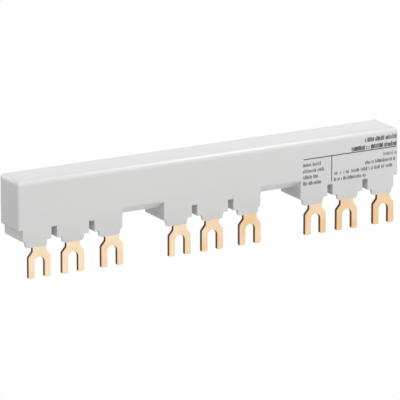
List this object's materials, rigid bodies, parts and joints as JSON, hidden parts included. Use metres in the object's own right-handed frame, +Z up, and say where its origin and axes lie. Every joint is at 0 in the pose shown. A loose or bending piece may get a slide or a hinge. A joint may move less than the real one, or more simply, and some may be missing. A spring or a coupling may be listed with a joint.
{
  "type": "three-phase comb busbar",
  "caption": "Long light grey insulated block with stepped feet, from which rows of flat copper forks reach down to feed neighbouring motor starters.",
  "frame": {"origin": "centre of the slot round of the middle starter's middle fork, halfway through the copper", "axes": "+X along the busbar to the right, +Y from the front wall to the rear cover, +Z up, away from the forks"},
  "size_m": [0.1494, 0.0142, 0.0346],
  "materials": {
    "housing": "fine moulded texture, slightly silky",
    "copper": "bare rolled copper, satin, with sheared edges",
    "separator": "plain sheet"
  },
  "bodies": {
    "root": {"front_housing": "housing", "rear_cover": "housing", "front_bar": "copper", "middle_bar": "copper", "rear_bar": "copper", "front_separator": "separator", "rear_separator": "separator"}
  },
  "joints": []
}
